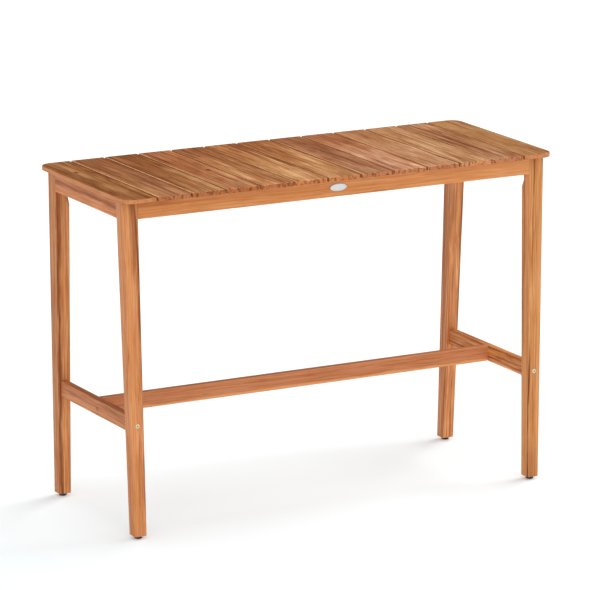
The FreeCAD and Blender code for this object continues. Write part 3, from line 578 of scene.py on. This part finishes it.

# On the front left leg the dark line near the right edge of the front, at 0.0186 across, is partly a streak
# of the wood and partly painted shade where that edge turns from the light.
leg_wood("front_left_leg", body=(0.612, 0.237, 0.086), seed=40.0, spread=0.2, streaks=0.15, rings=0.12,
         glows=[streak(FRONT, at=-0.010, half_width=0.014, run=(-0.1, 0.95), strength=0.4)],
         marks=[streak(FRONT, at=0.031, slope=-0.032, half_width=0.014, run=(0.72, 0.95), strength=0.45),
                streak(FRONT, at=0.0432, slope=-0.037, half_width=0.0055, run=(0.66, 0.95), strength=0.75),
                streak(FRONT, at=0.0186, slope=0.005, half_width=0.0058, run=(-0.1, 0.70), strength=0.9),
                streak(FRONT, at=0.0153, half_width=0.0048, run=(0.54, 0.68), strength=0.65)])
# On the front right leg the glow at the head of the front, from 0.84 m up, is painted light against the
# shade under the top.
leg_wood("front_right_leg", body=(0.636, 0.274, 0.094), seed=41.0, spread=0.2, streaks=0.22, rings=0.25,
         contrast=0.5,
         glows=[streak(FRONT, at=0.012, half_width=0.012, run=(0.05, 0.85), strength=0.5),
                streak(FRONT, at=0.009, half_width=0.016, run=(0.84, 1.0), strength=0.6),
                streak(FRONT, at=-0.0145, half_width=0.004, run=(0.66, 0.90), strength=0.45),
                streak(LEFT, at=-0.008, half_width=0.008, run=(0.1, 0.95), strength=0.35),
                streak(LEFT, at=0.002, half_width=0.030, run=(0.10, 0.45), strength=0.28)],
         marks=[streak(FRONT, at=-0.0335, slope=0.03, half_width=0.0046, run=(0.80, 1.0), strength=0.68),
                streak(FRONT, at=-0.0100, half_width=0.0032, run=(0.60, 0.78), strength=0.5),
                streak(FRONT, at=-0.0195, slope=0.012, half_width=0.0045, run=(0.12, 0.36), strength=0.9),
                streak(FRONT, at=-0.0176, half_width=0.0058, run=(-0.1, 0.12), strength=0.9),
                streak(FRONT, at=-0.004, half_width=0.026, run=(-0.1, 0.10), strength=0.33),
                streak(FRONT, at=0.012, half_width=0.003, run=(0.72, 0.84), strength=0.45),
                streak(LEFT, at=0.003, half_width=0.005, run=(0.58, 0.86), strength=0.55),
                streak(LEFT, at=0.010, half_width=0.006, run=(0.38, 0.60), strength=0.5)])
# On the back legs the left faces are painted shade, darker than the fronts.
leg_wood("back_left_leg", body=(0.690, 0.294, 0.113), seed=42.0, spread=0.3, streaks=0.35, rings=0.2,
         glows=[streak(FRONT, at=0.004, half_width=0.006, run=(-0.1, 0.95), strength=0.4)],
         marks=[shaded_face(LEFT, 0.25),
                streak(FRONT, at=-0.0105, slope=-0.0075, half_width=0.0078, run=(-0.1, 0.95), strength=0.8),
                streak(FRONT, at=-0.012, half_width=0.020, run=(0.66, 0.95), strength=0.45),
                streak(FRONT, at=0.001, half_width=0.008, run=(0.76, 0.95), strength=0.35),
                streak(FRONT, at=-0.0135, half_width=0.012, run=(0.24, 0.45), strength=0.8)])
leg_wood("back_right_leg", body=(0.794, 0.352, 0.146), seed=43.0, spread=0.3, streaks=0.4, rings=0.25,
         glows=[streak(FRONT, at=0.004, half_width=0.010, run=(0.62, 0.95), strength=0.9)],
         marks=[shaded_face(LEFT, 0.34),
                streak(LEFT, at=-0.006, slope=0.025, half_width=0.008, run=(-0.1, 0.95), strength=0.45),
                streak(FRONT, at=-0.0155, half_width=0.012, run=(0.62, 0.95), strength=0.38),
                streak(FRONT, at=0.015, half_width=0.006, run=(0.30, 0.70), strength=0.5)])
for number, corner in enumerate(CORNERS):
    brace = corner + "_corner_brace"
    wood = Wood(brace, middle_of(brace), Z, X, Y)
    give(brace, wood.finish(body=BRACE_BODY, seed=FIRST_BRACE_SEED + number))


# Metal, plastic and dowels, in metres. The stretcher bolts sit on the legs at their X and level
BLOTCH, BLOTCH_STEP = (3.0, 0.6), (0.3, 0.7)
GRIT, GRIT_TO_BLOTCH = (2.0, 0.6), 9.0
FINISH_BUMP_DEPTH = 0.0002
DARK_SHARE = 0.30
BOLT_X, BOLT_LEVEL = 0.603, 0.3055
SOCKET_RADIUS, SOCKET_BLUR = 0.0023, 0.08
RIM_FACING = (0.9, 0.5)


def plain_material(name, *, base, metallic, roughness, scale, bump, shade=0.12, dark=None):
    """A hard finish with mottled colour and roughness and a fine texture, and a darker part where asked; on
    the stretcher bolts that part is painted shade in the socket.
    """
    material, graph = new_material(name)
    given = graph.node("ShaderNodeTexCoord").outputs
    blotch = graph.noise(given["Object"], [scale] * 3, *BLOTCH)
    grit = graph.noise(given["Object"], [scale * GRIT_TO_BLOTCH] * 3, *GRIT)
    shown = graph.toned(colour(*base), graph.ramp(blotch, *BLOTCH_STEP, 1.0 + shade, 1.0 - shade))
    if dark:
        shown = graph.mix(dark(graph, given), shown, colour(*[DARK_SHARE * part for part in base]))
    graph.surface({"Base Color": shown, "Metallic": metallic,
                   "Roughness": graph.ramp(blotch, *BLOTCH_STEP, *roughness),
                   "Normal": graph.bump(grit, bump, FINISH_BUMP_DEPTH)})
    return material


def socket_shade_mask(graph, given):
    """Painted shade in the hexagon socket of a stretcher bolt."""
    x, _, z = graph.split(given["Object"])
    aside = graph.minus(graph.absolute(x), BOLT_X)
    raised = graph.minus(z, BOLT_LEVEL)
    away = graph.vector("LENGTH", graph.join(aside, raised, 0.0))
    return graph.ramp(away, SOCKET_RADIUS * (1.0 + SOCKET_BLUR), SOCKET_RADIUS * (1.0 - SOCKET_BLUR))


def rim_mask(graph, given):
    """The steps of the oval plate."""
    return graph.ramp(graph.absolute(graph.split(given["Normal"])[1]), *RIM_FACING)


steel = plain_material("bright_zinc", base=(0.70, 0.71, 0.72), metallic=1.0, roughness=(0.26, 0.42),
                       scale=300.0, bump=0.15)
yellow_zinc = plain_material("yellow_zinc", base=(0.80, 0.68, 0.40), metallic=1.0, roughness=(0.24, 0.40),
                             scale=300.0, bump=0.15)
# The stretcher bolts get painted shade in their hexagon sockets.
bolt_zinc = plain_material("bolt_zinc", base=(0.80, 0.70, 0.46), metallic=1.0, roughness=(0.30, 0.44),
                           scale=300.0, bump=0.15, dark=socket_shade_mask)
plate_metal = plain_material("plate_metal", base=(0.71, 0.69, 0.68), metallic=1.0, roughness=(0.30, 0.38),
                             scale=500.0, bump=0.10, shade=0.05, dark=rim_mask)
black_plastic = plain_material("black_plastic", base=(0.016, 0.016, 0.018), metallic=0.0,
                               roughness=(0.42, 0.55), scale=400.0, bump=0.30)
beech = plain_material("beech_dowel", base=(0.62, 0.43, 0.24), metallic=0.0, roughness=(0.55, 0.7),
                       scale=350.0, bump=0.4)

for node in ("leg_bolts", "leg_bolt_washers", "leg_bolt_inserts", "stretcher_barrel_nuts", "foot_inserts"):
    give(node, steel)
for node in ("board_screws", "batten_screws", "brace_screws"):
    give(node, yellow_zinc)
for node in ("side_stretcher_dowels", "long_stretcher_dowels", "centre_batten_dowels"):
    give(node, beech)
give("stretcher_bolts", bolt_zinc)
give("oval_plate", plate_metal)
for corner in CORNERS:
    give(corner + "_foot_pad", black_plastic)
    give(corner + "_foot_stud", steel)


# Floor, lamps and camera
def place_in_scene(name, data):
    """A new object that holds the data."""
    made = bpy.data.objects.new(name, data)
    bpy.context.scene.collection.objects.link(made)
    return made


def make_floor():
    """A pale floor that shows as white and keeps the shadow."""
    size = FLOOR_HALF_SIZE
    corners = [(-size, -size, 0), (size, -size, 0), (size, size, 0), (-size, size, 0)]
    mesh = bpy.data.meshes.new("floor")
    mesh.from_pydata(corners, [], [(0, 1, 2, 3)])
    floor = place_in_scene("floor", mesh)
    material, graph = new_material("floor")
    path = graph.node("ShaderNodeLightPath").outputs
    seen = graph.math("MAXIMUM", path["Is Glossy Ray"], path["Is Transmission Ray"])
    seen = graph.math("MAXIMUM", path["Is Camera Ray"], seen)
    hidden = graph.node("ShaderNodeBsdfDiffuse", {"Color": colour(*FLOOR_BOUNCE_COLOUR)})
    matte = graph.node("ShaderNodeBsdfDiffuse", {"Color": colour(*FLOOR_SEEN_COLOUR)})
    lift = graph.node("ShaderNodeEmission", {"Strength": FLOOR_LIFT})
    both = graph.node("ShaderNodeAddShader", {0: matte.outputs[0], 1: lift.outputs[0]})
    either = graph.node("ShaderNodeMixShader", {0: seen, 1: hidden.outputs[0], 2: both.outputs[0]})
    graph.node("ShaderNodeOutputMaterial", {"Surface": either.outputs[0]})
    mesh.materials.append(material)


def make_world():
    """A sky that is bright above and dim near the horizon."""
    world = bpy.data.worlds.new("studio")
    bpy.context.scene.world = world
    world.use_nodes = True
    world.node_tree.nodes.clear()
    graph = Graph(world.node_tree)
    height = graph.split(graph.node("ShaderNodeTexCoord").outputs["Generated"])[2]
    strength = graph.ramp(height, HAZE_START, HAZE_END, WORLD_LOW, WORLD_HIGH)
    sky = graph.node("ShaderNodeBackground", {"Color": colour(*WORLD_COLOUR), "Strength": strength})
    graph.node("ShaderNodeOutputWorld", {"Surface": sky.outputs[0]})


def make_lamps():
    """Wide soft lamps, far away."""
    for name, source, level, softness in LAMPS:
        lamp = bpy.data.lights.new(name, "SUN")
        lamp.energy = math.pi * level
        lamp.angle = math.radians(softness)
        holder = place_in_scene(name, lamp)
        holder.rotation_mode = "QUATERNION"
        holder.rotation_quaternion = Vector(source).to_track_quat("Z", "Y")


def make_camera():
    """The camera of the photograph."""
    turn, pitch = math.radians(CAMERA_TURN), math.radians(CAMERA_PITCH)
    back = Vector((-math.sin(turn) * math.cos(pitch), -math.cos(turn) * math.cos(pitch), math.sin(pitch)))
    camera = bpy.data.cameras.new("camera")
    camera.lens = LENS
    camera.sensor_width = SENSOR_WIDTH
    camera.clip_end = CAMERA_REACH
    holder = place_in_scene("camera", camera)
    holder.location = CAMERA_TARGET + back * CAMERA_DISTANCE
    holder.rotation_mode = "QUATERNION"
    holder.rotation_quaternion = (-back).to_track_quat("-Z", "Y")
    bpy.context.scene.camera = holder


make_floor()
make_world()
make_lamps()
make_camera()
bpy.context.scene.view_settings.view_transform = "Standard"
